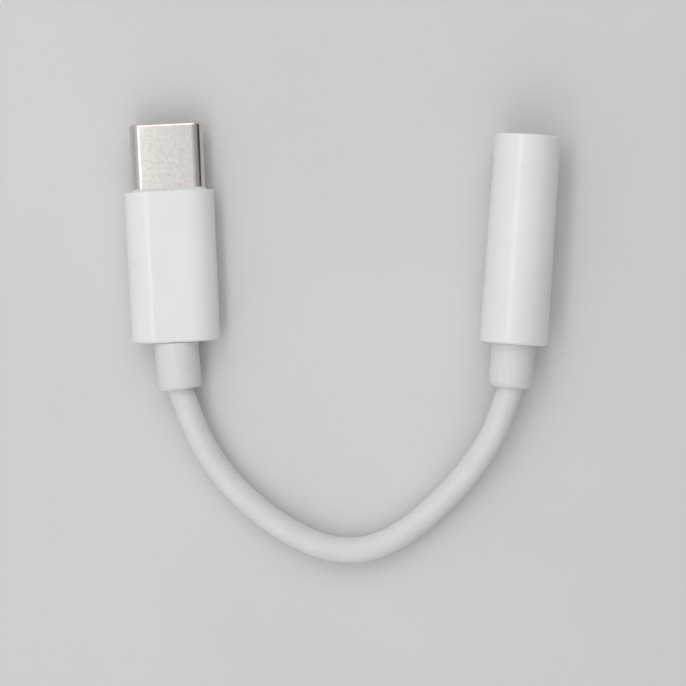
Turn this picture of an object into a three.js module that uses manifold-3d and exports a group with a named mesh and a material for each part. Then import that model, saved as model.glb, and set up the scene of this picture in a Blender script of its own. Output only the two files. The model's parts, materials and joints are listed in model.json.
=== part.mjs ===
// Adapter lead: a USB-C plug at one end, a 3.5 mm headphone socket at the other, and a short cord between.
// Millimetres, +Z up. The adapter lies flat, and the origin is on the surface, midway between the two ends.
// Each end has its own group: +Y runs along its axis, away from the cord, from the centre of its rear face.
import * as THREE from "three";
import { mergeVertices } from "three/addons/utils/BufferGeometryUtils.js";
import Module from "manifold-3d";

const wasm = await Module();
wasm.setup();

// ---------- Driving dimensions ----------

const fit = 0.1; // gap between pieces that touch in the real object
const seam = 0.3; // gap between the cord's faces and what they meet
const past = 1; // how far a cutting tool runs past the face that it cuts

const plugEnd = { x: -18.7, y: -9.68, tilt: 2.7 };
const jackEnd = { x: 19.25, y: -9.8, tilt: -3.83 };

// The plug's moulded sleeve and the insert in its mouth are flat ovals: a flat between two half-oval sides.
const ovalFlat = 4.3;
const plugHousing = { width: 10.1, rearWidth: 9.98, height: 5.2, length: 17, wall: 0.5, rearWall: 0.8 };
const frontCap = { length: 3.75, proud: 0.35, slack: 0.1 };
const usbShell = { width: 8.25, height: 2.4, wall: 0.25, exposed: 7.65, length: 12.25 };
const shellLeg = { width: 1, length: 2 };

// The insulator in the shell. Its slot takes the receptacle's tongue, and its grooves take the springs.
const carrier = { gap: 0.12, recess: 0.25, rear: 11.7 };
const slot = { width: 6.9, height: 0.8, rear: 15.5 };
const groove = { width: 0.38, inner: 0.2, floor: 0.7, front: 21.95 };
const contact = { pitch: 0.5, width: 0.24, thickness: 0.12, inner: 0.33, rear: 10, front: 21.8 };
const contactBump = { height: 0.11, ramp: 0.5, crown: 0.4, toe: 0.4 };
const upperPins = [1, 4, 5, 6, 7, 9, 12];
const lowerPins = [1, 4, 5, 9, 12];
const pinCount = 12;

const latch = { inner: 3.38, thickness: 0.22, height: 0.4, rear: 12.2, front: 22 };
const latchHook = { reach: 0.28, ramp: 0.4, crown: 0.3, toe: 0.3 };
const latchChannel = { inner: 3.25, height: 0.6, front: 22.9 };
const groundSpring = { width: 5.4, rear: 22.4, front: 23.7, bottom: 0.7, thickness: 0.1 };
const groundTab = { spacing: 3.4, width: 0.6, rear: 22.75, front: 23.25, bottom: 0.36 };

const board = { width: 8.2, tongueWidth: 7.2, rear: 2.3, shoulder: 10.2, front: 11.4, thickness: 0.5 };
const solder = 0.08; // gap under each component
const chip = { x: 0.4, y: 5.9, size: 3, height: 0.75 };
const small = { length: 1, width: 0.5, height: 0.5, cap: 0.22, step: 0.04 };
const bead = { length: 1.6, width: 0.8, height: 0.8, cap: 0.35, step: 0.06 };

// Where each small component lies: x and y, and 1 for the board's top or -1 for its underside.
const capacitorPlaces = [
  [-2.6, 4.4, 1],
  [-2.6, 5.4, 1],
  [-2.6, 6.4, 1],
  [2.9, 4.4, 1],
  [-0.8, 6.2, -1],
];
const resistorPlaces = [
  [-2.6, 8.6, 1],
  [2.6, 8.6, 1],
];
const beadPlace = [1.4, 7.2, -1];

// The socket's moulded sleeve is a little wider at its rear than at its mouth.
const jackHousing = { mouthRadius: 3.69, rearRadius: 3.825, length: 23.38, inner: 3.1, rearWall: 0.9 };
const jackRound = { rear: 0.4, mouth: 0.25 };
const socket = { rear: 6.6, barrel: 2.85, bore: 1.8, boreRear: 8.4, recess: 0.1 };
const socketFlange = { radius: 2.95, length: 1.2 };
const socketCap = { rear: 5.9, front: 6.4 };
const leaf = { width: 1.2, thickness: 0.2, inner: 2.3, rear: 5.6, past: 0.7, bumpReach: 0.8, bumpHalf: 0.6 };
const leafChannel = { width: 1.5, floor: 2.1, outer: 4, windowWidth: 1.4, windowInner: 1, windowHalf: 0.85 };

// Each socket spring's angle round the bore, and where along it the spring's bump stands in the bore.
const leaves = {
  tip: { angle: 45, bump: 10.4 },
  ring: { angle: 135, bump: 13.9 },
  ground: { angle: 225, bump: 16.9 },
  mic: { angle: 315, bump: 19.9 },
};

const boot = { bore: 1.2, neck: 1.5, wallHole: 1.65, flangeGap: 0.15, flangeLength: 0.55 };
const plugBoot = { radius: 2.5, length: 5.3, round: 0.5, flange: 1.8, tilt: 2.5 };
const jackBoot = { radius: 2.485, length: 4.95, round: 1, flange: 2, tilt: 0 };

const wire = { radius: 0.27, spread: 0.45, sides: 6, steps: 9 };

// Where each plug wire nears the board, and its pad; then how the socket's wires spread to the springs.
const plugPad = { nearX: 0.8, nearY: 1.9, x: 1.2, y: 3.7 };
const jackWireRoute = { radii: [0.6, 1.5, 2.25, 2.4], ys: [1.4, 3, 4.4, 5.2] };

const cord = { radius: 1.45, sides: 8, stepLength: 2.5 };

// The cord's centreline from the plug's boot to the socket's: straight out of each boot, down onto the
// surface, then round the bend. cordSplit is the point at which its two halves meet.
const cordRoute = [
  [-18.23, -14.96, 2.6],
  [-17.95, -15.85, 2.57],
  [-17.1, -18.2, 2.38],
  [-16.05, -20.6, 2.05],
  [-14.7, -23.05, 1.72],
  [-13.1, -25.25, 1.54],
  [-11.2, -27.25, 1.5],
  [-9.2, -29, 1.5],
  [-7, -30.6, 1.5],
  [-4.6, -31.95, 1.5],
  [-2, -33, 1.5],
  [0.7, -33.4, 1.5],
  [3.4, -33.05, 1.5],
  [6, -31.95, 1.5],
  [8.3, -30.45, 1.52],
  [10.3, -28.7, 1.61],
  [12.3, -26.7, 1.86],
  [14, -24.7, 2.25],
  [15.65, -22.4, 2.77],
  [17, -20.05, 3.28],
  [17.96, -17.65, 3.65],
  [18.62, -15.68, 3.8],
  [18.92, -14.74, 3.825],
];
const cordSplit = 11;

const finishes = {
  housing: { color: "#e9ebec", roughness: 0.38, metalness: 0 },
  soft: { color: "#dcdcdb", roughness: 0.6, metalness: 0 },
  steel: { color: "#cfc8c2", roughness: 0.3, metalness: 1 },
  gold: { color: "#d8ae55", roughness: 0.3, metalness: 1 },
  nickel: { color: "#b9b6b0", roughness: 0.35, metalness: 1 },
  insulator: { color: "#1c1d1f", roughness: 0.55, metalness: 0 },
  socket: { color: "#d9dadb", roughness: 0.5, metalness: 0 },
  board: { color: "#1d5a3a", roughness: 0.5, metalness: 0 },
  chip: { color: "#18191b", roughness: 0.6, metalness: 0 },
  ceramic: { color: "#a98a62", roughness: 0.55, metalness: 0 },
  resistor: { color: "#202224", roughness: 0.5, metalness: 0 },
  leftWire: { color: "#3f7f4d", roughness: 0.5, metalness: 0 },
  rightWire: { color: "#b23a34", roughness: 0.5, metalness: 0 },
  micWire: { color: "#e6e4dd", roughness: 0.5, metalness: 0 },
  groundWire: { color: "#b8763f", roughness: 0.4, metalness: 1 },
};

// ---------- Shapes and solids ----------

const radians = THREE.MathUtils.degToRad;

/** A closed three.js geometry as a manifold-3d solid. */
function solidOf(geometry) {
  const bare = geometry.clone();
  bare.deleteAttribute("normal");
  bare.deleteAttribute("uv");
  const merged = mergeVertices(bare, 1e-4);
  const vertProperties = merged.getAttribute("position").array;
  const triVerts = new Uint32Array(merged.index.array);
  return new wasm.Manifold(new wasm.Mesh({ numProp: 3, vertProperties, triVerts }));
}

/** A manifold-3d solid as a three.js geometry. */
function geometryOf(solid) {
  const mesh = solid.getMesh();
  const geometry = new THREE.BufferGeometry();
  geometry.setAttribute("position", new THREE.BufferAttribute(mesh.vertProperties, 3));
  geometry.setIndex(new THREE.BufferAttribute(mesh.triVerts, 1));
  const flat = geometry.toNonIndexed();
  flat.computeVertexNormals();
  return flat;
}

/** The geometry with every tool taken out of it. */
function cut(geometry, ...tools) {
  return geometryOf(tools.reduce((solid, tool) => solid.subtract(solidOf(tool)), solidOf(geometry)));
}

/** All the pieces as one solid. */
function join(...pieces) {
  return geometryOf(pieces.map(solidOf).reduce((solid, piece) => solid.add(piece)));
}

/** A box between two corners. */
function block([x0, y0, z0], [x1, y1, z1]) {
  const box = new THREE.BoxGeometry(x1 - x0, y1 - y0, z1 - z0);
  return box.translate((x0 + x1) / 2, (y0 + y1) / 2, (z0 + z1) / 2);
}

/** A round bar along Y. */
function bar(radius, from, to, segments = 24) {
  return new THREE.CylinderGeometry(radius, radius, to - from, segments).translate(0, (from + to) / 2, 0);
}

/** A flat oval outline: a flat between half-oval sides, which are half-round unless the flat is given. */
function oval(width, height, flat = width - height) {
  const centre = flat / 2;
  const reach = width / 2 - centre;
  const shape = new THREE.Shape();
  shape.absellipse(centre, 0, reach, height / 2, -Math.PI / 2, Math.PI / 2);
  shape.absellipse(-centre, 0, reach, height / 2, Math.PI / 2, 1.5 * Math.PI);
  return shape;
}

/** An outline in X and Z, drawn out along Y. */
function alongY(shape, from, to) {
  const options = { depth: to - from, bevelEnabled: false, curveSegments: 5 };
  return new THREE.ExtrudeGeometry(shape, options).rotateX(Math.PI / 2).translate(0, to, 0);
}

/** A side outline in Y and Z, drawn out along X to a width, centred on x. */
function sideways(points, width, x = 0) {
  const shape = new THREE.Shape(points.map(([y, z]) => new THREE.Vector2(y, z)));
  const [yAxis, zAxis] = [new THREE.Vector3(0, 1, 0), new THREE.Vector3(0, 0, 1)];
  const turn = new THREE.Matrix4().makeBasis(yAxis, zAxis, new THREE.Vector3(1, 0, 0));
  const options = { depth: width, bevelEnabled: false };
  return new THREE.ExtrudeGeometry(shape, options).applyMatrix4(turn).translate(x - width / 2, 0, 0);
}

/** A plan outline in X and Y, drawn out along Z to a height, centred on z = 0. */
function upright(points, height) {
  const shape = new THREE.Shape(points.map(([x, y]) => new THREE.Vector2(x, y)));
  const options = { depth: height, bevelEnabled: false };
  return new THREE.ExtrudeGeometry(shape, options).translate(0, 0, -height / 2);
}

/** A profile of [radius, y] points, turned round the Y axis. */
function turned(profile, segments = 24) {
  return new THREE.LatheGeometry(profile.map(([radius, y]) => new THREE.Vector2(radius, y)), segments);
}

/** Points of a quarter round of a profile, about a centre, from one angle to another in degrees. */
function corner(centreRadius, centreY, radius, from, to) {
  const steps = 3;
  return Array.from({ length: steps + 1 }, (_, step) => {
    const angle = radians(from + ((to - from) * step) / steps);
    return [centreRadius + radius * Math.cos(angle), centreY + radius * Math.sin(angle)];
  });
}

/** A round tube along a smooth curve through the points. */
function tube(points, radius, sides, steps) {
  const ring = Array.from({ length: sides }, (_, side) => {
    const angle = (2 * Math.PI * side) / sides;
    return new THREE.Vector2(radius * Math.cos(angle), radius * Math.sin(angle));
  });
  const extrudePath = new THREE.CatmullRomCurve3(points, false, "centripetal");
  return new THREE.ExtrudeGeometry(new THREE.Shape(ring), { steps, extrudePath, bevelEnabled: false });
}

/** The mirror image of a geometry across one axis, 0 for X or 2 for Z, with its faces still pointing out. */
function mirrored(geometry, axis) {
  const scale = new THREE.Vector3(1, 1, 1).setComponent(axis, -1);
  const flipped = geometry.index ? geometry.toNonIndexed() : geometry.clone();
  flipped.scale(scale.x, scale.y, scale.z);
  const positions = flipped.getAttribute("position");
  for (let corner = 0; corner < positions.count; corner += 3) {
    const second = new THREE.Vector3().fromBufferAttribute(positions, corner + 1);
    const third = new THREE.Vector3().fromBufferAttribute(positions, corner + 2);
    positions.setXYZ(corner + 1, ...third);
    positions.setXYZ(corner + 2, ...second);
  }
  flipped.computeVertexNormals();
  return flipped;
}

/** A named mesh with a material of its own. */
function part(name, geometry, finish) {
  const mesh = new THREE.Mesh(geometry, new THREE.MeshStandardMaterial(finishes[finish]));
  mesh.name = name;
  return mesh;
}

// ---------- Plug end ----------

/** Narrows a geometry that runs from y = 0 to a length, so that its rear end is rearScale times as wide. */
function taper(geometry, length, rearScale) {
  const positions = geometry.getAttribute("position");
  for (let i = 0; i < positions.count; i++) {
    const scale = THREE.MathUtils.lerp(rearScale, 1, positions.getY(i) / length);
    positions.setX(i, positions.getX(i) * scale);
  }
  return geometry;
}

function makePlugHousing() {
  const { width, rearWidth, height, length, wall, rearWall } = plugHousing;
  const outside = taper(alongY(oval(width, height, ovalFlat), 0, length), length, rearWidth / width);
  const inside = alongY(oval(width - 2 * wall, height - 2 * wall, ovalFlat), rearWall, length + past);
  return cut(outside, inside, bar(boot.wallHole, -past, rearWall + past));
}

function makeFrontCap() {
  const front = plugHousing.length + frontCap.proud;
  const inset = 2 * (plugHousing.wall + fit);
  const outside = oval(plugHousing.width - inset, plugHousing.height - inset, ovalFlat);
  const hole = oval(usbShell.width + 2 * frontCap.slack, usbShell.height + 2 * frontCap.slack);
  const rear = front - frontCap.length;
  return cut(alongY(outside, rear, front), alongY(hole, rear - past, front + past));
}

const shellFront = plugHousing.length + usbShell.exposed;
const shellRear = shellFront - usbShell.length;

function makeUsbShell() {
  const { width, height, wall } = usbShell;
  const outside = alongY(oval(width, height), shellRear, shellFront);
  const inside = alongY(oval(width - 2 * wall, height - 2 * wall), shellRear - past, shellFront + past);
  const legRear = shellRear - shellLeg.length;
  const legs = [-1, 1].map((side) => {
    const [inner, outer] = [side * (width / 2 - wall), (side * width) / 2].sort((a, b) => a - b);
    return block([inner, legRear, -shellLeg.width / 2], [outer, shellRear + wall, shellLeg.width / 2]);
  });
  return join(cut(outside, inside), ...legs);
}

/** A contact's place across the plug: row A counts from the right, and row B from the left. */
function pinX(pin, row) {
  return row * ((pinCount + 1) / 2 - pin) * contact.pitch;
}

const contacts = [
  ...upperPins.map((pin) => ({ name: `contact_a${pin}`, x: pinX(pin, 1), row: 1 })),
  ...lowerPins.map((pin) => ({ name: `contact_b${pin}`, x: pinX(pin, -1), row: -1 })),
];

function makeCarrier() {
  const { gap, recess, rear } = carrier;
  const inset = 2 * (usbShell.wall + gap);
  const front = shellFront - recess;
  const outside = alongY(oval(usbShell.width - inset, usbShell.height - inset), rear, front);
  const opening = block(
    [-slot.width / 2, slot.rear, -slot.height / 2],
    [slot.width / 2, front + past, slot.height / 2],
  );
  const grooves = contacts.map(({ x, row }) => {
    const [low, high] = [row * groove.inner, row * groove.floor].sort((a, b) => a - b);
    return block([x - groove.width / 2, rear - past, low], [x + groove.width / 2, groove.front, high]);
  });
  const channel = block(
    [latchChannel.inner, rear - past, -latchChannel.height / 2],
    [usbShell.width / 2, latchChannel.front, latchChannel.height / 2],
  );
  const pocket = makeGroundSpring(fit, past);
  const windows = [channel, mirrored(channel, 0), pocket, mirrored(pocket, 2)];
  return cut(outside, opening, ...grooves, ...windows);
}

/** The shielding spring over the slot's mouth, with two tabs. grow and raise make it into its own pocket. */
function makeGroundSpring(grow = 0, raise = 0) {
  const { width, rear, front, bottom, thickness } = groundSpring;
  const top = bottom + thickness;
  const plate = block(
    [-width / 2 - grow, rear - grow, bottom - grow],
    [width / 2 + grow, front + grow, top + raise],
  );
  const tabs = [-1, 1].map((side) => {
    const x = (side * groundTab.spacing) / 2;
    const half = groundTab.width / 2 + grow;
    const low = groundTab.bottom - grow;
    return block([x - half, groundTab.rear - grow, low], [x + half, groundTab.front + grow, top]);
  });
  return join(plate, ...tabs);
}

/** One contact blade: a strip along its groove, with a bump near its front that presses on the tongue. */
function makeContact(x, row) {
  const { width, thickness, inner, rear, front } = contact;
  const { height, ramp, crown, toe } = contactBump;
  const outer = inner + thickness;
  const crownFront = front - toe;
  const crownRear = crownFront - crown;
  const outline = [
    [rear, inner],
    [crownRear - ramp, inner],
    [crownRear, inner - height],
    [crownFront, inner - height],
    [front, inner],
    [front, outer],
    [crownFront, outer - height],
    [crownRear, outer - height],
    [crownRear - ramp, outer],
    [rear, outer],
  ];
  const blade = sideways(outline, width, x);
  return row > 0 ? blade : mirrored(blade, 2);
}

/** One side latch: an arm in the insulator's side channel, with a hook that catches the tongue's notch. */
function makeLatch(side) {
  const { inner, thickness, height, rear, front } = latch;
  const { reach, ramp, crown, toe } = latchHook;
  const outline = [
    [inner, rear],
    [inner + thickness, rear],
    [inner + thickness, front],
    [inner - reach, front - toe],
    [inner - reach, front - toe - crown],
    [inner, front - toe - crown - ramp],
  ];
  const arm = upright(outline, height);
  return side > 0 ? arm : mirrored(arm, 0);
}

function makeBoard() {
  const { width, tongueWidth, rear, shoulder, front, thickness } = board;
  const outline = [
    [-width / 2, rear],
    [width / 2, rear],
    [width / 2, shoulder],
    [tongueWidth / 2, shoulder],
    [tongueWidth / 2, front],
    [-tongueWidth / 2, front],
    [-tongueWidth / 2, shoulder],
    [-width / 2, shoulder],
  ];
  return upright(outline, thickness);
}

/** A component lying along X: a body between two slightly thicker end caps. side is 1 on top, -1 below. */
function makeComponent({ length, width, height, cap, step }, x, y, side) {
  const low = board.thickness / 2 + solder;
  const half = length / 2;
  const outline = [
    [-half, low],
    [-half + cap, low],
    [-half + cap, low + step],
    [half - cap, low + step],
    [half - cap, low],
    [half, low],
    [half, low + height],
    [half - cap, low + height],
    [half - cap, low + height - step],
    [-half + cap, low + height - step],
    [-half + cap, low + height],
    [-half, low + height],
  ];
  const body = sideways(outline, width).rotateZ(-Math.PI / 2).translate(x, y, 0);
  return side > 0 ? body : mirrored(body, 2);
}

function makeChip() {
  const low = board.thickness / 2 + solder;
  const half = chip.size / 2;
  return block([chip.x - half, chip.y - half, low], [chip.x + half, chip.y + half, low + chip.height]);
}

/** A boot: a barrel behind the housing's rear face at y = 0, a neck through its wall and a flange inside. */
function makeBoot({ radius, length, round, flange }, rearWall) {
  const flangeRear = rearWall + boot.flangeGap;
  const flangeFront = flangeRear + boot.flangeLength;
  return turned([
    [boot.bore, -length],
    ...corner(radius - round, round - length, round, -90, 0),
    [radius, -fit],
    [boot.neck, -fit],
    [boot.neck, flangeRear],
    [flange, flangeRear],
    [flange, flangeFront],
    [boot.bore, flangeFront],
    [boot.bore, -length],
  ]);
}

/** A wire that starts in a boot's bore, at one quarter of the bundle, and ends at a point. */
function makeWire(quarterX, quarterZ, bootShape, ...onward) {
  const tilt = radians(bootShape.tilt);
  const up = new THREE.Vector3(0, 0, 1);
  const inBoot = [seam - bootShape.length, -bootShape.length / 2, 0].map((y) =>
    new THREE.Vector3(quarterX * wire.spread, y, quarterZ * wire.spread).applyAxisAngle(up, tilt),
  );
  const points = onward.map(([x, y, z]) => new THREE.Vector3(x, y, z));
  return tube([...inBoot, ...points], wire.radius, wire.sides, wire.steps);
}

function addPlugWires(group) {
  const height = board.thickness / 2 + solder + wire.radius;
  const places = { left: [-1, 1], right: [1, 1], mic: [-1, -1], ground: [1, -1] };
  for (const [name, [sideX, sideZ]] of Object.entries(places)) {
    const nearPad = [sideX * plugPad.nearX, plugPad.nearY, sideZ * height];
    const pad = [sideX * plugPad.x, plugPad.y, sideZ * height];
    group.add(part(`plug_wire_${name}`, makeWire(sideX, sideZ, plugBoot, nearPad, pad), `${name}Wire`));
  }
}

function makePlugEnd() {
  const group = new THREE.Group();
  group.add(part("plug_housing", makePlugHousing(), "housing"));
  group.add(part("plug_front_cap", makeFrontCap(), "housing"));
  group.add(part("usb_shell", makeUsbShell(), "steel"));
  group.add(part("contact_carrier", makeCarrier(), "insulator"));
  contacts.forEach(({ name, x, row }) => group.add(part(name, makeContact(x, row), "gold")));
  group.add(part("latch_left", makeLatch(-1), "nickel"));
  group.add(part("latch_right", makeLatch(1), "nickel"));
  group.add(part("ground_spring_top", makeGroundSpring(), "nickel"));
  group.add(part("ground_spring_bottom", mirrored(makeGroundSpring(), 2), "nickel"));
  group.add(part("circuit_board", makeBoard(), "board"));
  group.add(part("codec_chip", makeChip(), "chip"));
  capacitorPlaces.forEach((place, index) => {
    group.add(part(`capacitor_${index + 1}`, makeComponent(small, ...place), "ceramic"));
  });
  resistorPlaces.forEach((place, index) => {
    group.add(part(`resistor_${index + 1}`, makeComponent(small, ...place), "resistor"));
  });
  group.add(part("ferrite_bead", makeComponent(bead, ...beadPlace), "resistor"));
  addPlugWires(group);
  const strainRelief = part("plug_boot", makeBoot(plugBoot, plugHousing.rearWall), "soft");
  strainRelief.rotation.z = radians(plugBoot.tilt);
  group.add(strainRelief);
  group.position.set(plugEnd.x, plugEnd.y, plugHousing.height / 2);
  group.rotation.z = radians(plugEnd.tilt);
  return group;
}

// ---------- Socket end ----------

function makeJackHousing() {
  const { mouthRadius, rearRadius, length, inner, rearWall } = jackHousing;
  const { rear, mouth } = jackRound;
  return turned(
    [
      [boot.wallHole, 0],
      ...corner(rearRadius - rear, rear, rear, -90, 0),
      ...corner(mouthRadius - mouth, length - mouth, mouth, 0, 90),
      [inner, length],
      [inner, rearWall],
      [boot.wallHole, rearWall],
      [boot.wallHole, 0],
    ],
    32,
  );
}

/** A box at one of the spring angles, from the inner to the outer radius, between two places on the axis. */
function radialBlock(angle, width, inner, outer, from, to) {
  return block([-width / 2, from, inner], [width / 2, to, outer]).rotateY(radians(angle));
}

function makeSocketBody() {
  const front = jackHousing.length - socket.recess;
  const outside = turned([
    [0, socket.rear],
    [socket.barrel, socket.rear],
    [socket.barrel, front - socketFlange.length],
    [socketFlange.radius, front - socketFlange.length],
    [socketFlange.radius, front],
    [0, front],
  ]);
  const { width, floor, outer, windowWidth, windowInner, windowHalf } = leafChannel;
  const slots = Object.values(leaves).flatMap(({ angle, bump }) => [
    radialBlock(angle, width, floor, outer, socket.rear - past, bump + leaf.past + 2 * fit),
    radialBlock(angle, windowWidth, windowInner, floor + fit, bump - windowHalf, bump + windowHalf),
  ]);
  return cut(outside, bar(socket.bore, socket.boreRear, front + past), ...slots);
}

/** One socket spring: a leaf along its channel, with a bump through the window into the bore. */
function makeLeaf({ angle, bump }) {
  const { width, thickness, inner, rear, bumpReach, bumpHalf } = leaf;
  const outer = inner + thickness;
  const front = bump + leaf.past;
  const outline = [
    [rear, inner],
    [bump - bumpHalf, inner],
    [bump, inner - bumpReach],
    [bump + bumpHalf, inner],
    [front, inner],
    [front, outer],
    [rear, outer],
  ];
  return sideways(outline, width).rotateY(radians(angle));
}

function makeSocketCap() {
  const { width, floor, outer } = leafChannel;
  const slots = Object.values(leaves).map(({ angle }) =>
    radialBlock(angle, width, floor, outer, socketCap.rear - past, socketCap.front + past),
  );
  return cut(bar(socket.barrel, socketCap.rear, socketCap.front), ...slots);
}

function addJackWires(group) {
  const names = { tip: "left", ring: "right", ground: "ground", mic: "mic" };
  for (const [contactName, { angle }] of Object.entries(leaves)) {
    const across = Math.sign(Math.sin(radians(angle)));
    const upward = Math.sign(Math.cos(radians(angle)));
    const route = jackWireRoute.radii.map((radius, index) => [
      across * radius * Math.SQRT1_2,
      jackWireRoute.ys[index],
      upward * radius * Math.SQRT1_2,
    ]);
    const geometry = makeWire(across, upward, jackBoot, ...route);
    group.add(part(`jack_wire_${names[contactName]}`, geometry, `${names[contactName]}Wire`));
  }
}

function makeJackEnd() {
  const group = new THREE.Group();
  group.add(part("jack_housing", makeJackHousing(), "housing"));
  group.add(part("socket_body", makeSocketBody(), "socket"));
  Object.entries(leaves).forEach(([name, place]) => {
    group.add(part(`socket_${name}_spring`, makeLeaf(place), "nickel"));
  });
  group.add(part("socket_cap", makeSocketCap(), "socket"));
  addJackWires(group);
  const strainRelief = part("jack_boot", makeBoot(jackBoot, jackHousing.rearWall), "soft");
  strainRelief.rotation.z = radians(jackBoot.tilt);
  group.add(strainRelief);
  group.position.set(jackEnd.x, jackEnd.y, jackHousing.rearRadius);
  group.rotation.z = radians(jackEnd.tilt);
  return group;
}

// ---------- Cord ----------

/** The cord's route with its ends drawn back by the seam, so that they don't touch the boots. */
function makeRoute() {
  const points = cordRoute.map(([x, y, z]) => new THREE.Vector3(x, y, z));
  const drawBack = (end, next) => end.add(next.clone().sub(end).setLength(seam));
  drawBack(points[0], points[1]);
  drawBack(points.at(-1), points.at(-2));
  return points;
}

function addCord(group) {
  const points = makeRoute();
  const centre = points[cordSplit];
  const half = (route) => {
    const length = new THREE.CatmullRomCurve3(route).getLength();
    return tube(route, cord.radius, cord.sides, Math.round(length / cord.stepLength));
  };
  const ball = (radius) => new THREE.SphereGeometry(radius, 16, 12).translate(centre.x, centre.y, centre.z);
  const plugHalf = join(half(points.slice(0, cordSplit + 1)), ball(cord.radius));
  const jackHalf = cut(half(points.slice(cordSplit)), ball(cord.radius + seam));
  group.add(part("cord_plug_half", plugHalf, "soft"));
  group.add(part("cord_jack_half", jackHalf, "soft"));
}

const adapter = new THREE.Group();
adapter.add(makePlugEnd(), makeJackEnd());
addCord(adapter);

export default adapter;
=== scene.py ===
"""A USB-C to 3.5 mm headphone adapter lead that lies flat with its cord in a U.

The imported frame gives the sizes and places. This script adds the fine surfaces of the two ends and the
cord, the materials, the light and the camera. Lengths are in millimetres, and MM turns them into metres where
Blender takes them. Only the lights are given in metres.
"""

import json
import math

import bmesh
import bpy
from mathutils import Matrix, Vector


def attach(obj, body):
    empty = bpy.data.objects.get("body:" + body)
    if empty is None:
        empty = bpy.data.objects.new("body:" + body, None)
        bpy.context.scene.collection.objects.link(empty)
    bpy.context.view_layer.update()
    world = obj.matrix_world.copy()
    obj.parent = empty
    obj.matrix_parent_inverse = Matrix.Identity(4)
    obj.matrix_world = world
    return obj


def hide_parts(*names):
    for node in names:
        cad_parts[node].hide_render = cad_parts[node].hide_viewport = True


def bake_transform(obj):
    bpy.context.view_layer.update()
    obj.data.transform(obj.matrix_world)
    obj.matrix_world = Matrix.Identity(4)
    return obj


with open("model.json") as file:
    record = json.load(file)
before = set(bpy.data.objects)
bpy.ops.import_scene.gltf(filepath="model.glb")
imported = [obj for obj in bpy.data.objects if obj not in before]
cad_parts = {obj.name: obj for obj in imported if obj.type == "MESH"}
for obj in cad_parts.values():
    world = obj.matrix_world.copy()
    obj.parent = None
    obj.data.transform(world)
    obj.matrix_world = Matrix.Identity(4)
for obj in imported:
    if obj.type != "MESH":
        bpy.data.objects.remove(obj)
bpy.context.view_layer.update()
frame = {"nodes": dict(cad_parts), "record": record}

MM = 0.001
UP = Vector((0, 0, 1))
HERE = Matrix.Identity(4)

# ---------- Driving dimensions that the frame's boxes don't give ----------

HAIRLINE = 0.02  # gap between two pieces that touch

SLEEVE_REAR_NARROWING = 0.06  # how much nearer the axis each side of the plug's sleeve is at its rear
SLEEVE_FLAT = 2.15  # half of the flat stretch between its oval sides
SLEEVE_REAR_ROUND = 0.4
SLEEVE_REAR_BOW = 0.1  # how far the sides of its rear edge are drawn forward
SLEEVE_SETTLE = 4  # the length over which the bow fades out
SLEEVE_FRONT_ROUND = 0.08
SLEEVE_WALL = 0.5
SLEEVE_REAR_WALL = 0.8

COLLAR_FOOT = 0.29  # how far the collar's fillet spreads over the plug's shoulder
COLLAR_SPREAD = 0.08  # how much the collar is larger than its frame node, to fill the sleeve's mouth
COLLAR_EDGE = 0.03

SHELL_WALL = 0.25
SHELL_LIP_ROUND = 0.38
SHELL_LIP_TURN = 104  # where the lip's round ends, in degrees
SHELL_LIP_INSIDE = [(0.33, 0.03), (0.33, 0.12), (0.28, 0.3), (SHELL_WALL, 0.6)]  # (inset, depth from the tip)
SHELL_LEG_WIDTH = 1
SHELL_LEG_LENGTH = 2
SHELL_LEG_OVERLAP = 0.1  # how far each leg runs into the shell
SHELL_END = 3  # its last stretch, which has a ring of its own so that its sides are shaded straight

WALL_HOLE = 1.65  # radius of the hole in each housing's rear wall
JACK_REAR_ROUND = 0.38
JACK_MOUTH_ROUND = 0.25
JACK_MOUTH_RADIUS = 3.69
JACK_REAR_WALL = 0.9
JACK_INNER = 3.1
JACK_CHAMFER = 0.08

SOCKET_FLANGE = 3.06
SOCKET_FLANGE_LENGTH = 1.2
SOCKET_BARREL = 2.85
SOCKET_BORE = 1.8
SOCKET_BORE_REAR = 8.4
SOCKET_EDGE = 0.05
SOCKET_ROUND = 0.28
SOCKET_SPRINGS = {"tip": 45, "ring": 135, "ground": 225, "mic": 315}  # the angle of each round the bore
SPRING_PAST_BUMP = 0.7  # how far a spring runs past its bump
CHANNEL = {"width": 1.5, "inner": 2.1, "outer": 4}
CHANNEL_SLACK = 0.2
WINDOW = {"width": 1.4, "inner": 1, "outer": 2.2}
WINDOW_HALF = 0.85

CORD_RADIUS = 1.45
CORD_IN_BOOT = 1.5

BOOT_RECESS = 1.8
BOOT_NECK = 1.5
BOOT_BORE = 1.2
BOOT_NECK_PAST = 0.1  # how far the neck runs past the housing's rear wall
BOOT_STEP_ROUND = 0.06
BOOT_LIP_ROUND = 0.1
BOOT_LIP_GAP = 0.04

# The cord's centreline from the plug's boot to the socket's boot, as the frame's cord solids have it.
CORD_ROUTE = [
    (-18.23, -14.96, 2.6),
    (-17.95, -15.85, 2.57),
    (-17.1, -18.2, 2.38),
    (-16.05, -20.6, 2.05),
    (-14.7, -23.05, 1.72),
    (-13.1, -25.25, 1.54),
    (-11.2, -27.25, 1.5),
    (-9.2, -29, 1.5),
    (-7, -30.6, 1.5),
    (-4.6, -31.95, 1.5),
    (-2, -33, 1.5),
    (0.7, -33.4, 1.5),
    (3.4, -33.05, 1.5),
    (6, -31.95, 1.5),
    (8.3, -30.45, 1.52),
    (10.3, -28.7, 1.61),
    (12.3, -26.7, 1.86),
    (14, -24.7, 2.25),
    (15.65, -22.4, 2.77),
    (17, -20.05, 3.28),
    (17.96, -17.65, 3.65),
    (18.62, -15.68, 3.8),
    (18.92, -14.74, 3.825),
]

# ---------- Points, profiles and rings ----------

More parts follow.
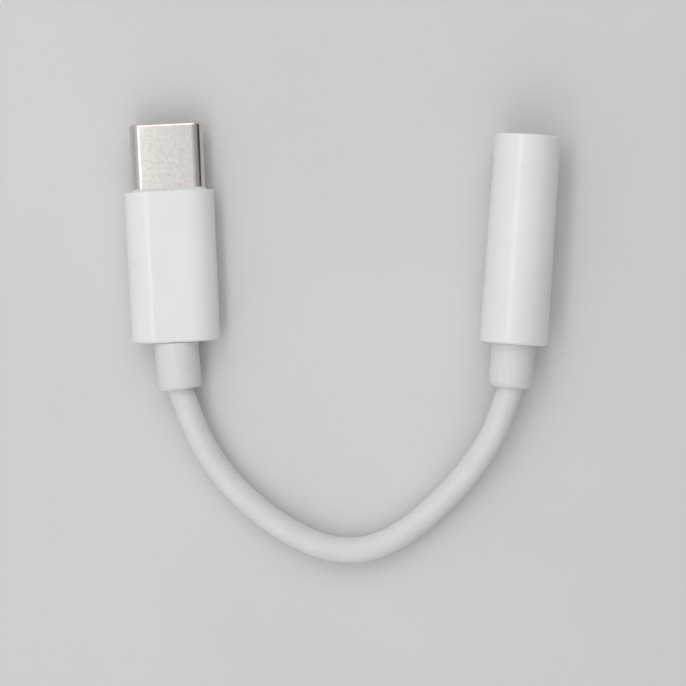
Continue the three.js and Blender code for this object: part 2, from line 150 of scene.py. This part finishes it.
ARC_STEPS = 20
FLAT_SHARES = (0.004, 0.25, 0.5, 0.75, 0.996)  # along an oval's flat; the outermost keep its shading flat
RING_STEPS = 72
SHARP = 32  # edges over this angle are left sharp, in degrees


def extent(node, axes):
    """The lowest and highest corners of a frame node in some axes, in millimetres."""
    inverse = axes.inverted()
    points = [inverse @ vertex.co / MM for vertex in frame["nodes"][node].data.vertices]
    low = Vector(min(point[axis] for point in points) for axis in range(3))
    high = Vector(max(point[axis] for point in points) for axis in range(3))
    return low, high


def end_axes(node, mount_name):
    """An end's own axes: +Y along the mount's axis, and the origin in the middle of the node's rear face."""
    mount = next(m for m in frame["record"]["mounts"] if m["name"] == mount_name)
    along = Vector(mount["axis"])
    turn = Matrix((along.cross(UP), along, UP)).transposed().to_4x4()
    low, high = extent(node, turn)
    middle = Vector(((low.x + high.x) / 2, low.y, (low.z + high.z) / 2))
    return Matrix.Translation(turn @ middle * MM) @ turn


def arc(centre, radii, start, end, steps=7):
    """Points of an elliptical arc in a profile's plane, between two angles in degrees."""
    angles = [math.radians(start + (end - start) * step / steps) for step in range(steps + 1)]
    return [(centre[0] + radii[0] * math.cos(a), centre[1] + radii[1] * math.sin(a)) for a in angles]


def round_ring(radius, y):
    """A circle round the Y axis."""
    angles = [2 * math.pi * step / RING_STEPS for step in range(RING_STEPS)]
    return [Vector((radius * math.cos(a), y, radius * math.sin(a))) for a in angles]


def oval_ring(half_width, half_height, y, bow=0.0, flat=None):
    """A flat oval round the Y axis. Its sides are half-round unless flat gives half the width of its flat.

    bow draws the sides forward.
    """
    centre = half_width - half_height if flat is None else flat
    reach = half_width - centre
    points = []
    for side in (1, -1):
        for step in range(ARC_STEPS + 1):
            angle = math.pi * (step / ARC_STEPS - 0.5)
            points.append((side * (centre + reach * math.cos(angle)), side * half_height * math.sin(angle)))
        for share in FLAT_SHARES:
            points.append((side * centre * (1 - 2 * share), side * half_height))
    return [Vector((x, y + bow * (x / half_width) ** 2, z)) for x, z in points]


def funnel_ring(half_width, half_height, radius, y):
    """A circle whose points match the sleeve's of that size, one for one."""
    oval = oval_ring(half_width, half_height, 0, flat=SLEEVE_FLAT)
    ways = [Vector((point.x * half_height / half_width, 0, point.z)).normalized() for point in oval]
    return [way * radius + Vector((0, y, 0)) for way in ways]


def skin(name, rings, place=HERE, loop=True, sharp=SHARP):
    """A solid skinned over rings of points. A loop joins its last ring to its first; any other is capped."""
    count = len(rings[0])
    points = [place @ (point * MM) for ring in rings for point in ring]
    last = len(rings) - 1
    pairs = [(row, row + 1) for row in range(last)]
    if loop:
        pairs.append((last, 0))
    faces = []
    for a, b in pairs:
        for i in range(count):
            j = (i + 1) % count
            faces.append((a * count + i, a * count + j, b * count + j, b * count + i))
    if not loop:
        faces.append(tuple(range(count)))
        faces.append(tuple(range(last * count, (last + 1) * count)))
    mesh = bpy.data.meshes.new(name)
    mesh.from_pydata(points, [], faces)
    face_outward(mesh, sharp)
    made = bpy.data.objects.new(name, mesh)
    bpy.context.scene.collection.objects.link(made)
    return made


def face_outward(mesh, sharp):
    """Turns the faces outward and shades them smooth, with edges over the sharp angle left sharp."""
    work = bmesh.new()
    work.from_mesh(mesh)
    bmesh.ops.recalc_face_normals(work, faces=work.faces)
    work.to_mesh(mesh)
    work.free()
    mesh.shade_smooth()
    mesh.set_sharp_from_angle(angle=math.radians(sharp))


def block_rings(low, high):
    """The two ends of a box, along Y."""
    outline = [(low[0], low[2]), (high[0], low[2]), (high[0], high[2]), (low[0], high[2])]
    return [[Vector((x, y, z)) for x, z in outline] for y in (low[1], high[1])]


def carve(piece, tools):
    """Cuts the tools out of a piece, applies the cuts and removes the tools."""
    for tool in tools:
        modifier = piece.modifiers.new(tool.name, "BOOLEAN")
        modifier.operation = "DIFFERENCE"
        modifier.object = tool
    view = bpy.context.evaluated_depsgraph_get()
    carved = bpy.data.meshes.new_from_object(piece.evaluated_get(view))
    piece.modifiers.clear()
    piece.data = carved
    for tool in tools:
        bpy.data.objects.remove(tool)
    face_outward(carved, SHARP)


# ---------- Materials ----------


def new_material(slot, roughness, metallic=0.0):
    material = bpy.data.materials.new(slot)
    material.use_nodes = True
    shader = material.node_tree.nodes["Principled BSDF"]
    shader.inputs["Roughness"].default_value = roughness
    shader.inputs["Metallic"].default_value = metallic
    return material


def node(material, kind, **inputs):
    """A new shader node with its inputs set by name."""
    made = material.node_tree.nodes.new(kind)
    for name, value in inputs.items():
        made.inputs[name.replace("_", " ")].default_value = value
    return made


def link(material, output, target):
    material.node_tree.links.new(output, target)


def shader_input(material, name):
    return material.node_tree.nodes["Principled BSDF"].inputs[name]


def noise(material, size, detail=2.0):
    """A cloudy pattern in the object's own space, with features of about that size in millimetres."""
    place = node(material, "ShaderNodeTexCoord")
    texture = node(material, "ShaderNodeTexNoise", Scale=1 / (size * MM), Detail=detail)
    link(material, place.outputs["Object"], texture.inputs["Vector"])
    return texture.outputs["Fac"]


def vary_colour(material, dark, light, size, detail=3.0):
    ramp = node(material, "ShaderNodeValToRGB")
    ramp.color_ramp.elements[0].position = 0.3
    ramp.color_ramp.elements[0].color = (*dark, 1)
    ramp.color_ramp.elements[1].position = 0.7
    ramp.color_ramp.elements[1].color = (*light, 1)
    link(material, noise(material, size, detail), ramp.inputs["Fac"])
    link(material, ramp.outputs["Color"], shader_input(material, "Base Color"))
    return ramp


def vary_roughness(material, low, high, size):
    spread = node(material, "ShaderNodeMapRange", From_Min=0.3, From_Max=0.7, To_Min=low, To_Max=high)
    link(material, noise(material, size), spread.inputs["Value"])
    link(material, spread.outputs["Result"], shader_input(material, "Roughness"))


def add_relief(material, *layers):
    """Surface relief in layers of (feature size, depth), both in millimetres."""
    normal = None
    for size, depth in layers:
        bump = node(material, "ShaderNodeBump", Distance=depth * MM)
        link(material, noise(material, size), bump.inputs["Height"])
        if normal:
            link(material, normal, bump.inputs["Normal"])
        normal = bump.outputs["Normal"]
    link(material, normal, shader_input(material, "Normal"))


def soften(material, weight, depth):
    """Lets a little light through the surface, to a depth in millimetres."""
    shader_input(material, "Subsurface Weight").default_value = weight
    shader_input(material, "Subsurface Scale").default_value = depth * MM
    shader_input(material, "Subsurface Radius").default_value = (1.0, 0.9, 0.8)


def moulded_polymer(slot):
    """Bright white moulding with a satin gloss and the faint unevenness of a polished mould."""
    material = new_material(slot, roughness=0.23)
    vary_colour(material, (0.745, 0.747, 0.742), (0.772, 0.774, 0.77), size=6)
    vary_roughness(material, 0.2, 0.26, size=1.5)
    add_relief(material, (1.6, 0.0016), (0.09, 0.0003))
    soften(material, weight=0.15, depth=0.5)
    return material


def elastomer(slot, dark, light, roughness):
    """White rubbery polymer: matt, with a fine grain and faint handling marks."""
    material = new_material(slot, roughness)
    vary_colour(material, dark, light, size=3)
    vary_roughness(material, roughness - 0.06, roughness + 0.06, size=0.7)
    add_relief(material, (0.9, 0.002), (0.07, 0.0008))
    soften(material, weight=0.2, depth=0.6)
    return material


def satin_steel(slot):
    """Drawn and nickel-plated steel: warm, with a fine mottled grain."""
    material = new_material(slot, roughness=0.18, metallic=1.0)
    vary_colour(material, (0.675, 0.637, 0.605), (0.715, 0.675, 0.642), size=0.4)
    vary_roughness(material, 0.15, 0.22, size=0.25)
    add_relief(material, (0.5, 0.0012), (0.08, 0.0007))
    return material


def plating(slot, dark, light, roughness):
    """Plated spring alloy with faint wipe marks."""
    material = new_material(slot, roughness, metallic=1.0)
    vary_colour(material, dark, light, size=0.4)
    vary_roughness(material, roughness - 0.06, roughness + 0.08, size=0.15)
    add_relief(material, (0.12, 0.0006))
    return material


def filled_polymer(slot, dark, light, roughness):
    """Matt technical polymer with a short-fibre grain."""
    material = new_material(slot, roughness)
    vary_colour(material, dark, light, size=0.5)
    vary_roughness(material, roughness - 0.08, roughness + 0.08, size=0.2)
    add_relief(material, (0.1, 0.0015))
    return material


def solder_mask(slot):
    """Green board lacquer with gold-coloured speckle where pads and vias show through."""
    material = new_material(slot, roughness=0.4)
    ramp = vary_colour(material, (0.01, 0.085, 0.035), (0.018, 0.12, 0.05), size=0.6)
    pad = ramp.color_ramp.elements.new(0.78)
    pad.color = (0.55, 0.4, 0.14, 1)
    vary_roughness(material, 0.3, 0.5, size=0.3)
    add_relief(material, (0.3, 0.004))
    return material


def tinned_component(slot, body):
    """A chip component: a fired body between tinned ends."""
    material = new_material(slot, roughness=0.45)
    cap_start = 0.28
    place = node(material, "ShaderNodeTexCoord")
    split = node(material, "ShaderNodeSeparateXYZ")
    link(material, place.outputs["Generated"], split.inputs["Vector"])
    distance = node(material, "ShaderNodeMath")
    distance.operation = "SUBTRACT"
    distance.inputs[1].default_value = 0.5
    link(material, split.outputs["X"], distance.inputs[0])
    size = node(material, "ShaderNodeMath")
    size.operation = "ABSOLUTE"
    link(material, distance.outputs["Value"], size.inputs[0])
    ramp = node(material, "ShaderNodeValToRGB")
    ramp.color_ramp.interpolation = "CONSTANT"
    ramp.color_ramp.elements[0].color = (*body, 1)
    ramp.color_ramp.elements[1].position = cap_start
    ramp.color_ramp.elements[1].color = (0.6, 0.6, 0.58, 1)
    link(material, size.outputs["Value"], ramp.inputs["Fac"])
    link(material, ramp.outputs["Color"], shader_input(material, "Base Color"))
    vary_roughness(material, 0.35, 0.55, size=0.15)
    add_relief(material, (0.12, 0.002))
    return material


materials = {
    "housing_white": moulded_polymer("housing_white"),
    "boot_white": elastomer("boot_white", (0.655, 0.655, 0.65), (0.685, 0.685, 0.68), 0.5),
    "cord_white": elastomer("cord_white", (0.645, 0.645, 0.64), (0.675, 0.675, 0.67), 0.5),
    "shell_steel": satin_steel("shell_steel"),
    "contact_gold": plating("contact_gold", (0.75, 0.53, 0.2), (0.86, 0.66, 0.3), 0.26),
    "spring_nickel": plating("spring_nickel", (0.56, 0.54, 0.51), (0.66, 0.64, 0.61), 0.3),
    "carrier_black": filled_polymer("carrier_black", (0.018, 0.019, 0.02), (0.028, 0.029, 0.031), 0.5),
    "socket_white": filled_polymer("socket_white", (0.62, 0.63, 0.63), (0.68, 0.69, 0.69), 0.5),
    "board_green": solder_mask("board_green"),
    "chip_black": filled_polymer("chip_black", (0.015, 0.016, 0.018), (0.024, 0.025, 0.028), 0.6),
    "ceramic_tan": tinned_component("ceramic_tan", (0.38, 0.25, 0.12)),
    "resistor_black": tinned_component("resistor_black", (0.02, 0.022, 0.025)),
    "wire_green": filled_polymer("wire_green", (0.04, 0.19, 0.07), (0.06, 0.24, 0.1), 0.45),
    "wire_red": filled_polymer("wire_red", (0.4, 0.035, 0.025), (0.48, 0.05, 0.035), 0.45),
    "wire_white": filled_polymer("wire_white", (0.72, 0.71, 0.67), (0.79, 0.78, 0.74), 0.45),
    "wire_copper": plating("wire_copper", (0.45, 0.17, 0.05), (0.56, 0.24, 0.08), 0.35),
}


def finish_piece(piece, slot, body, *cad_nodes):
    """Gives a new piece its material and body, and hides the frame nodes that it stands for."""
    piece.data.materials.append(materials[slot])
    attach(piece, body)
    if cad_nodes:
        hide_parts(*cad_nodes)
    return piece


def finish_frame_nodes():
    """Gives each frame node its material, and breaks the edges of the pressed and moulded ones that show."""
    edge = {"contact_gold": 0.02, "spring_nickel": 0.025, "carrier_black": 0.03, "chip_black": 0.04}
    for part in frame["record"]["subparts"]:
        shown = frame["nodes"][part["node"]]
        slot = part["material_slot"]
        shown.data.materials.clear()
        shown.data.materials.append(materials[slot])
        if slot in edge and not shown.hide_render:
            bevel = shown.modifiers.new("broken edges", "BEVEL")
            bevel.width = edge[slot] * MM
            bevel.segments = 2
            bevel.limit_method = "ANGLE"


# ---------- Camera ----------

VIEW_DISTANCE = 260
VIEW_WIDTH = 77.43  # what the frame takes in, at the height that the camera is aimed at
VIEW_AIM = Vector((0.1, -9.78, 2.6))
VIEW_FROM = Vector((0.1, -0.3, 2.6 + VIEW_DISTANCE))
SENSOR = 36


def looking(place, target):
    """The placement of a camera or a light that looks at a target, with +Y towards its top."""
    back = (place - target).normalized()
    right = Vector((0, 1, 0)).cross(back).normalized()
    turn = Matrix((right, back.cross(right), back)).transposed()
    return Matrix.Translation(place) @ turn.to_4x4()


def add_camera():
    data = bpy.data.cameras.new("camera")
    data.sensor_width = SENSOR
    data.lens = SENSOR * (VIEW_FROM - VIEW_AIM).length / VIEW_WIDTH
    data.clip_start = 0.01
    camera = bpy.data.objects.new("camera", data)
    camera.matrix_world = looking(VIEW_FROM * MM, VIEW_AIM * MM)
    bpy.context.scene.collection.objects.link(camera)
    bpy.context.scene.camera = camera


# ---------- Cord and boots ----------

plug_axes = end_axes("plug_housing", "usb_tip_face")
jack_axes = end_axes("jack_housing", "socket_mouth_face")
CORD_SIDES = 40
CORD_STEPS = 8


class BootLine:
    """A boot's centreline: it leaves the housing along its axis and bends over to the cord's exit."""

    def __init__(self, axes, exit_point):
        self.start = axes.translation / MM
        self.end = Vector(exit_point)
        self.length = (self.end - self.start).length
        back = -(axes.to_3x3() @ Vector((0, 1, 0)))
        self.middle = self.start + back * self.length / 2

    def tangent(self, place):
        share = min(max(place / self.length, 0), 1)
        way = (self.middle - self.start).lerp(self.end - self.middle, share)
        return way.normalized()

    def point(self, place):
        """The point at a distance from the housing's rear face. Past its ends, the line goes on straight."""
        share = min(max(place / self.length, 0), 1)
        on_line = self.start.lerp(self.middle, share).lerp(self.middle.lerp(self.end, share), share)
        return on_line + self.tangent(place) * (place - share * self.length)

    def ring(self, radius, place, steps=RING_STEPS):
        return ring_about(self.point(place), self.tangent(place), radius, steps)


def ring_about(centre, along, radius, steps):
    """A circle about a point, square to a direction."""
    side = along.cross(UP).normalized()
    over = side.cross(along)
    angles = [2 * math.pi * step / steps for step in range(steps)]
    return [centre + radius * (side * math.cos(a) + over * math.sin(a)) for a in angles]


plug_boot_line = BootLine(plug_axes, CORD_ROUTE[0])
jack_boot_line = BootLine(jack_axes, CORD_ROUTE[-1])


def cord_line():
    """The cord's centreline, from inside one boot to inside the other, as a smooth cubic B-spline.

    A B-spline cuts across its knots' corners, so each knot is pushed out by a sixth of the bend there.
    """
    inside = [line.point(line.length - CORD_IN_BOOT) for line in (plug_boot_line, jack_boot_line)]
    deeper = [line.point(line.length - 2 * CORD_IN_BOOT) for line in (plug_boot_line, jack_boot_line)]
    route = [deeper[0], inside[0], *map(Vector, CORD_ROUTE), inside[1], deeper[1]]
    bends = [before - 2 * here + after for before, here, after in zip(route, route[1:], route[2:])]
    knots = [route[0], *(here - bend / 6 for here, bend in zip(route[1:], bends)), route[-1]]
    points = []
    for a, b, c, d in zip(knots, knots[1:], knots[2:], knots[3:]):
        for step in range(CORD_STEPS):
            t = step / CORD_STEPS
            near = a * (1 - t) ** 3 + b * (3 * t**3 - 6 * t**2 + 4)
            far = c * (-3 * t**3 + 3 * t**2 + 3 * t + 1) + d * t**3
            points.append((near + far) / 6)
    return points


def make_cord():
    line = cord_line()
    rings = []
    for index, point in enumerate(line):
        before = line[max(index - 1, 0)]
        after = line[min(index + 1, len(line) - 1)]
        rings.append(ring_about(point, (after - before).normalized(), CORD_RADIUS, CORD_SIDES))
    cord = skin("cord", rings, loop=False, sharp=60)
    cord.data.materials.append(materials["cord_white"])
    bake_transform(cord)
    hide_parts("cord_plug_half", "cord_jack_half")


def make_boot(name, line, radius, corner_radii, rear_wall, body):
    """A strain relief: a neck through the housing's wall, a barrel, and a mouth that the cord goes into."""
    neck_end = -rear_wall - BOOT_NECK_PAST
    mouth = CORD_RADIUS + BOOT_LIP_GAP
    around, along = corner_radii
    profile = [(BOOT_NECK, neck_end), (BOOT_NECK, HAIRLINE), (radius - BOOT_STEP_ROUND, HAIRLINE)]
    profile.append((radius, HAIRLINE + BOOT_STEP_ROUND))
    profile += [(radius, line.length * share) for share in (0.25, 0.5, 0.7)]
    profile += arc((radius - around, line.length - along), (around, along), 0, 90, steps=10)
    lip = (mouth + BOOT_LIP_ROUND, line.length - BOOT_LIP_ROUND)
    profile += arc(lip, (BOOT_LIP_ROUND, BOOT_LIP_ROUND), 90, 180, steps=4)
    profile += [(mouth, line.length - BOOT_RECESS), (BOOT_BORE, line.length - BOOT_RECESS)]
    profile.append((BOOT_BORE, neck_end))
    boot = skin(name, [line.ring(*point) for point in profile])
    finish_piece(boot, "boot_white", body, name.removesuffix("_fine"))


# ---------- Plug end ----------


def make_plug_sleeve():
    """The flat oval sleeve: it narrows a little to a bowed and rounded rear edge."""
    half_width, length, half_height = extent("plug_housing", plug_axes)[1]

    def ring(inset, y, bow=0.0):
        narrowing = SLEEVE_REAR_NARROWING * (1 - y / length)
        return oval_ring(half_width - narrowing - inset, half_height - inset, y, bow, SLEEVE_FLAT)

    rear, front = SLEEVE_REAR_ROUND, SLEEVE_FRONT_ROUND
    bow = SLEEVE_REAR_BOW
    rear_edge = [ring(inset, y, bow) for inset, y in arc((rear, rear), (rear, rear), 270, 180)]
    settling = [ring(0, rear + SLEEVE_SETTLE * share, bow * (1 - share)) for share in (0.25, 0.5, 0.75, 1)]
    front_edge = [ring(inset, y) for inset, y in arc((front, length - front), (front, front), 180, 90)]
    inner_width, inner_height = half_width - SLEEVE_WALL, half_height - SLEEVE_WALL
    inside = [oval_ring(inner_width, inner_height, y, flat=SLEEVE_FLAT) for y in (length, SLEEVE_REAR_WALL)]
    hole = [funnel_ring(half_width, half_height, WALL_HOLE, y) for y in (SLEEVE_REAR_WALL, 0)]
    sleeve = skin("plug_sleeve", rear_edge + settling + front_edge + inside + hole, plug_axes)
    finish_piece(sleeve, "housing_white", "plug", "plug_housing")


def make_plug_collar():
    """The insert in the sleeve's mouth, with a concave fillet that climbs the metal shell."""
    low, high = extent("plug_front_cap", plug_axes)
    shell = extent("usb_shell", plug_axes)[1]
    shoulder = extent("plug_housing", plug_axes)[1].y
    height = high.y - shoulder

    def outer_ring(inset, y):
        grow = COLLAR_SPREAD - inset
        return oval_ring(high.x + grow, high.z + grow, y, flat=SLEEVE_FLAT)

    rings = [outer_ring(0, low.y), outer_ring(0, shoulder - COLLAR_EDGE), outer_ring(COLLAR_EDGE, shoulder)]
    for spread, y in arc((COLLAR_FOOT, high.y), (COLLAR_FOOT, height), 270, 180, steps=8):
        rings.append(oval_ring(shell.x + HAIRLINE + spread, shell.z + HAIRLINE + spread, y))
    rings.append(oval_ring(shell.x + HAIRLINE, shell.z + HAIRLINE, low.y))
    collar = skin("plug_collar", rings, plug_axes)
    finish_piece(collar, "housing_white", "plug", "plug_front_cap")


def make_usb_shell():
    """The drawn shell: a flat oval tube with a rolled lip, and two legs at its rear."""
    low, high = extent("usb_shell", plug_axes)
    rear = low.y + SHELL_LEG_LENGTH
    tip = high.y
    lip = SHELL_LIP_ROUND
    profile = [(0, rear), (0, tip - SHELL_END)]
    profile += arc((lip, tip - lip), (lip, lip), 180, SHELL_LIP_TURN, steps=9)
    profile += [(inset, tip - depth) for inset, depth in SHELL_LIP_INSIDE]
    profile.append((SHELL_WALL, rear))
    rings = [oval_ring(high.x - inset, high.z - inset, y) for inset, y in profile]
    shell = skin("plug_shell", rings, plug_axes)
    finish_piece(shell, "shell_steel", "plug", "usb_shell")
    half = SHELL_LEG_WIDTH / 2
    for name, side in (("shell_leg_left", -1), ("shell_leg_right", 1)):
        inner, outer = sorted((side * (high.x - SHELL_WALL), side * high.x))
        leg = block_rings((inner, low.y, -half), (outer, rear + SHELL_LEG_OVERLAP, half))
        finish_piece(skin(name, leg, plug_axes, loop=False), "shell_steel", "plug")


# ---------- Socket end ----------


def make_jack_sleeve():
    """The round sleeve: it narrows a little towards its mouth."""
    rear_radius, length, _ = extent("jack_housing", jack_axes)[1]
    rear, mouth = JACK_REAR_ROUND, JACK_MOUTH_ROUND
    profile = [(WALL_HOLE, 0)]
    profile += arc((rear_radius - rear, rear), (rear, rear), 270, 360)
    profile += arc((JACK_MOUTH_RADIUS - mouth, length - mouth), (mouth, mouth), 0, 90)
    profile += [(JACK_INNER + JACK_CHAMFER, length), (JACK_INNER, length - JACK_CHAMFER)]
    profile += [(JACK_INNER, JACK_REAR_WALL), (WALL_HOLE, JACK_REAR_WALL)]
    sleeve = skin("jack_sleeve", [round_ring(*point) for point in profile], jack_axes)
    finish_piece(sleeve, "housing_white", "jack", "jack_housing")


def radial_tool(name, angle, start, end, width, inner, outer):
    """A box from an inner to an outer radius, at an angle round the socket's axis."""
    rings = block_rings((-width / 2, start, inner), (width / 2, end, outer))
    return skin(name, rings, jack_axes @ Matrix.Rotation(math.radians(angle), 4, "Y"), loop=False)


def make_socket():
    """The socket's insulator: a bore with a rounded mouth, and a channel and a window for each spring."""
    low, high = extent("socket_body", jack_axes)
    front = high.y
    axis = 0.02  # a pinhole along the axis, where the rings would otherwise shrink to a point
    mouth = SOCKET_ROUND
    profile = [(axis, low.y), (SOCKET_BARREL, low.y), (SOCKET_BARREL, front - SOCKET_FLANGE_LENGTH)]
    profile += [(SOCKET_FLANGE, front - SOCKET_FLANGE_LENGTH), (SOCKET_FLANGE, front - SOCKET_EDGE)]
    profile.append((SOCKET_FLANGE - SOCKET_EDGE, front))
    profile += arc((SOCKET_BORE + mouth, front - mouth), (mouth, mouth), 90, 180, steps=5)
    profile += [(SOCKET_BORE, SOCKET_BORE_REAR), (axis, SOCKET_BORE_REAR)]
    socket = skin("socket_insulator", [round_ring(*point) for point in profile], jack_axes)
    tools = []
    for name, angle in SOCKET_SPRINGS.items():
        end = extent(f"socket_{name}_spring", jack_axes)[1].y
        bump = end - SPRING_PAST_BUMP
        tools.append(radial_tool(name + "_channel", angle, low.y - 1, end + CHANNEL_SLACK, **CHANNEL))
        tools.append(radial_tool(name + "_window", angle, bump - WINDOW_HALF, bump + WINDOW_HALF, **WINDOW))
    carve(socket, tools)
    finish_piece(socket, "socket_white", "jack", "socket_body")


# ---------- Stage ----------


def area_light(name, place, size, radiance):
    """A soft light aimed at the adapter. place and size are in metres, and radiance is its brightness."""
    data = bpy.data.lights.new(name, "AREA")
    data.shape = "RECTANGLE"
    data.size, data.size_y = size
    data.energy = radiance * math.pi * size[0] * size[1]
    light = bpy.data.objects.new(name, data)
    light.matrix_world = looking(Vector(place), Vector((0, 0, 0)))
    light.visible_camera = False
    bpy.context.scene.collection.objects.link(light)


def add_lights():
    """A narrow strip low on the left, which draws the long highlights, and a softbox beyond each end."""
    area_light("strip", (-0.073, -0.01, 0.2), (0.044, 0.4), 2.4)
    area_light("far_softbox", (0, 0.6, 0.6), (0.8, 0.5), 1.1)
    area_light("near_softbox", (0, -0.6, 0.6), (0.8, 0.5), 0.6)


# How bright the studio is towards the left (-1), overhead (0) and towards the right (1): (side, level).
STUDIO = [
    (-1, 0.5),
    (-0.7, 0.68),
    (-0.35, 0.78),
    (0.05, 0.76),
    (0.42, 0.44),
    (0.7, 0.42),
    (0.85, 0.27),
    (0.93, 0.05),
    (1, 0.02),
]


def add_world():
    """A studio as bright as STUDIO says."""
    world = bpy.data.worlds.new("studio")
    world.use_nodes = True
    tree = world.node_tree
    place = tree.nodes.new("ShaderNodeTexCoord")
    split = tree.nodes.new("ShaderNodeSeparateXYZ")
    spread = tree.nodes.new("ShaderNodeMapRange")
    spread.inputs["From Min"].default_value = -1
    ramp = tree.nodes.new("ShaderNodeValToRGB")
    stops = ramp.color_ramp.elements
    between = [stops.new((side + 1) / 2) for side, _ in STUDIO[1:-1]]
    for stop, (_, level) in zip([stops[0], *between, stops[-1]], STUDIO):
        stop.color = (level, level, level, 1)
    tree.links.new(place.outputs["Generated"], split.inputs["Vector"])
    tree.links.new(split.outputs["X"], spread.inputs["Value"])
    tree.links.new(spread.outputs["Result"], ramp.inputs["Fac"])
    tree.links.new(ramp.outputs["Color"], tree.nodes["Background"].inputs["Color"])
    bpy.context.scene.world = world


def add_floor():
    """A wide pale table top."""
    half, drop, thickness = 1500, 0.01, 5
    rings = block_rings((-half, -half, -thickness), (half, half, -drop))
    floor = skin("table_top", rings, loop=False)
    material = new_material("table_top", roughness=0.7)
    vary_colour(material, (0.6, 0.6, 0.6), (0.63, 0.63, 0.625), size=40)
    vary_roughness(material, 0.65, 0.75, size=2)
    add_relief(material, (0.5, 0.004))
    floor.data.materials.append(material)


bpy.context.scene.view_settings.view_transform = "Standard"
add_camera()
make_cord()
make_boot("plug_boot_fine", plug_boot_line, 2.5, (0.45, 0.5), SLEEVE_REAR_WALL, "plug")
make_boot("jack_boot_fine", jack_boot_line, 2.485, (0.8, 1.0), JACK_REAR_WALL, "jack")
make_plug_sleeve()
make_plug_collar()
make_usb_shell()
make_jack_sleeve()
make_socket()
finish_frame_nodes()
add_world()
add_lights()
add_floor()
